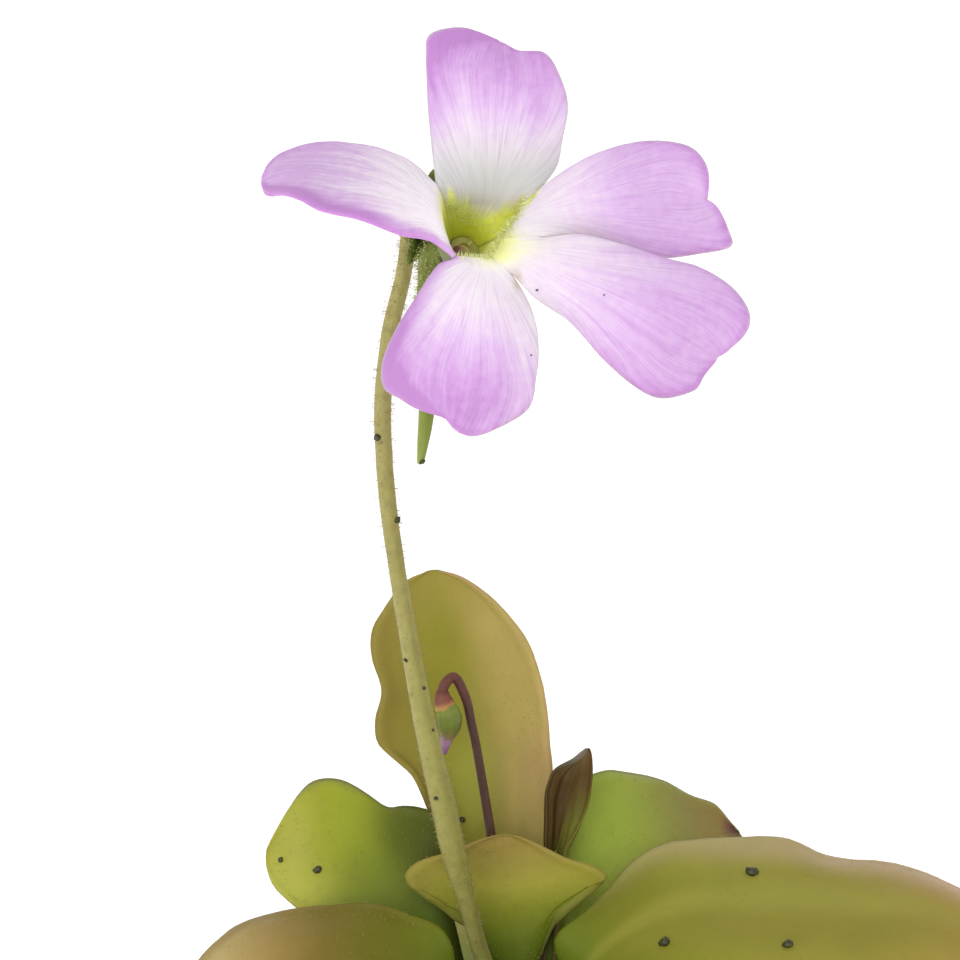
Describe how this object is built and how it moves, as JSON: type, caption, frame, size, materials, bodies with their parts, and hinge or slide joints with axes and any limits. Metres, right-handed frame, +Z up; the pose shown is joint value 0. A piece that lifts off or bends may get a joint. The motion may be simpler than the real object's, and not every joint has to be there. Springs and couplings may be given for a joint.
{
  "type": "potted butterwort",
  "caption": "Carnivorous rosette plant with broad leaves, one open five-lobed spurred flower and a bud, in a round tapered pot of soil.",
  "frame": {"origin": "centre of the pot's underside", "axes": "+Z up; the open flower faces -Y; +X is to its right as the viewer sees it"},
  "size_m": [0.0737, 0.072, 0.1372],
  "materials": {
    "pot": "moulded plastic, fine satin grain",
    "soil": "moist peat and grit",
    "crown": "waxy plant tissue",
    "leaf": "greasy, sticky leaf skin",
    "old_leaf": "dry leaf",
    "scape": "hairy stalk",
    "bud_scape": "hairy stalk",
    "calyx": "hairy green sepals",
    "petal": "soft satin petal",
    "stigma": "satin"
  },
  "bodies": {
    "root": {"pot": "pot", "soil": "soil", "crown": "crown", "leaf_back_upright": "leaf", "leaf_left_back": "leaf", "leaf_left_front": "leaf", "leaf_inner_young": "leaf", "leaf_withered": "old_leaf", "leaf_right_back": "leaf", "leaf_right_large": "leaf", "leaf_front_right": "leaf", "leaf_front_left": "leaf", "leaf_low_right": "leaf", "leaf_low_front": "leaf", "leaf_low_left_front": "leaf", "leaf_low_left": "leaf", "leaf_low_back": "leaf", "leaf_low_right_back": "leaf", "flower_stalk": "scape", "corolla": "petal", "calyx": "calyx", "pistil": "stigma", "bud_stalk": "bud_scape", "bud_calyx": "calyx", "bud": "petal"}
  },
  "joints": []
}
